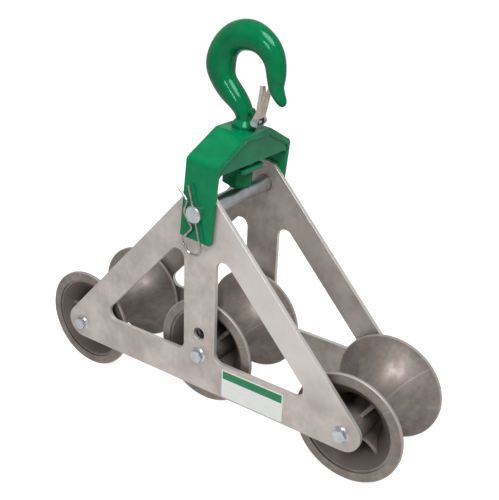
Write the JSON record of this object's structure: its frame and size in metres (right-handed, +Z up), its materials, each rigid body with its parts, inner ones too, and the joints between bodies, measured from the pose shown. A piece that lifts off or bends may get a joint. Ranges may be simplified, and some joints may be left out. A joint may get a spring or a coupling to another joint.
{
  "type": "triple cable pulling sheave",
  "caption": "Cable pulling sheave: triangular aluminium side plates carry hollow hourglass sheaves on bolted axles, under a green pinned yoke with a latched swivel hook.",
  "frame": {"origin": "on the ground under the middle of the frame, halfway between the side plates", "axes": "+X along the side plates from the left sheave to the right one, +Y across them to the far plate, +Z up"},
  "size_m": [0.578, 0.1768, 0.523],
  "materials": {
    "plate_aluminium": "brushed mill plate",
    "cast_aluminium": "sand cast, machined in the groove and at the lips",
    "green_paint": "gloss enamel over forged and welded steel",
    "zinc_steel": "bright zinc plated",
    "axle_steel": "turned bar",
    "bush_bronze": "sintered bronze",
    "latch_steel": "pressed sheet, dull plated",
    "spring_steel": "oil black wire"
  },
  "bodies": {
    "frame": {"side_plate_near": "plate_aluminium", "side_plate_far": "plate_aluminium", "axle_left": "axle_steel", "axle_middle": "axle_steel", "axle_right": "axle_steel", "axle_washers": "zinc_steel", "axle_bolts_near": "zinc_steel", "axle_bolts_far": "zinc_steel"},
    "sheave_left": {"sheave_bell_left_near": "cast_aluminium", "sheave_bell_left_far": "cast_aluminium", "sheave_hub_left": "cast_aluminium", "bushes_left": "bush_bronze"},
    "sheave_middle": {"sheave_bell_middle_near": "cast_aluminium", "sheave_bell_middle_far": "cast_aluminium", "sheave_hub_middle": "cast_aluminium", "bushes_middle": "bush_bronze"},
    "sheave_right": {"sheave_bell_right_near": "cast_aluminium", "sheave_bell_right_far": "cast_aluminium", "sheave_hub_right": "cast_aluminium", "bushes_right": "bush_bronze"},
    "yoke": {"yoke": "green_paint"},
    "swivel_hook": {"hook": "green_paint", "hook_thrust_washer": "green_paint", "hook_plate_washer": "green_paint", "hook_nut": "green_paint", "hook_nut_pin": "axle_steel", "latch_bolt": "zinc_steel", "latch_nut": "zinc_steel"},
    "latch": {"latch": "latch_steel", "latch_spring": "spring_steel"},
    "clevis_pin": {"clevis_pin": "zinc_steel"},
    "hitch_clip": {"hitch_clip": "zinc_steel"}
  },
  "joints": [
    {"name": "sheave_left_turn", "type": "hinge", "parent": "frame", "child": "sheave_left", "pos_m": [-0.2159, 0, 0.0731], "axis": [0, 1, 0], "continuous": true},
    {"name": "sheave_middle_turn", "type": "hinge", "parent": "frame", "child": "sheave_middle", "pos_m": [0, 0, 0.1001], "axis": [0, 1, 0], "continuous": true},
    {"name": "sheave_right_turn", "type": "hinge", "parent": "frame", "child": "sheave_right", "pos_m": [0.2159, 0, 0.0731], "axis": [0, 1, 0], "continuous": true},
    {"name": "yoke_swing", "type": "hinge", "parent": "frame", "child": "yoke", "pos_m": [0, 0, 0.3021], "axis": [0, 1, 0], "range_deg": [-82, 70.5]},
    {"name": "hook_swivel", "type": "hinge", "parent": "yoke", "child": "swivel_hook", "pos_m": [0, 0, 0.3021], "axis": [0.0993, 0, 0.9951], "continuous": true},
    {"name": "latch_opening", "type": "hinge", "parent": "swivel_hook", "child": "latch", "pos_m": [0.03096, 0, 0.40483], "axis": [0, 1, 0], "range_deg": [-42, 0], "stiffness_Nm_per_rad": 0.08, "springref_deg": 34.38, "deforming": ["latch_spring"]},
    {"name": "clevis_pin_turn", "type": "hinge", "parent": "frame", "child": "clevis_pin", "pos_m": [0, 0, 0.3021], "axis": [0, 1, 0], "continuous": true},
    {"name": "hitch_clip_pull", "type": "slide", "parent": "clevis_pin", "child": "hitch_clip", "axis": [0.2351, 0, -0.972], "range_m": [0, 0.05], "deforming": ["hitch_clip"]}
  ]
}
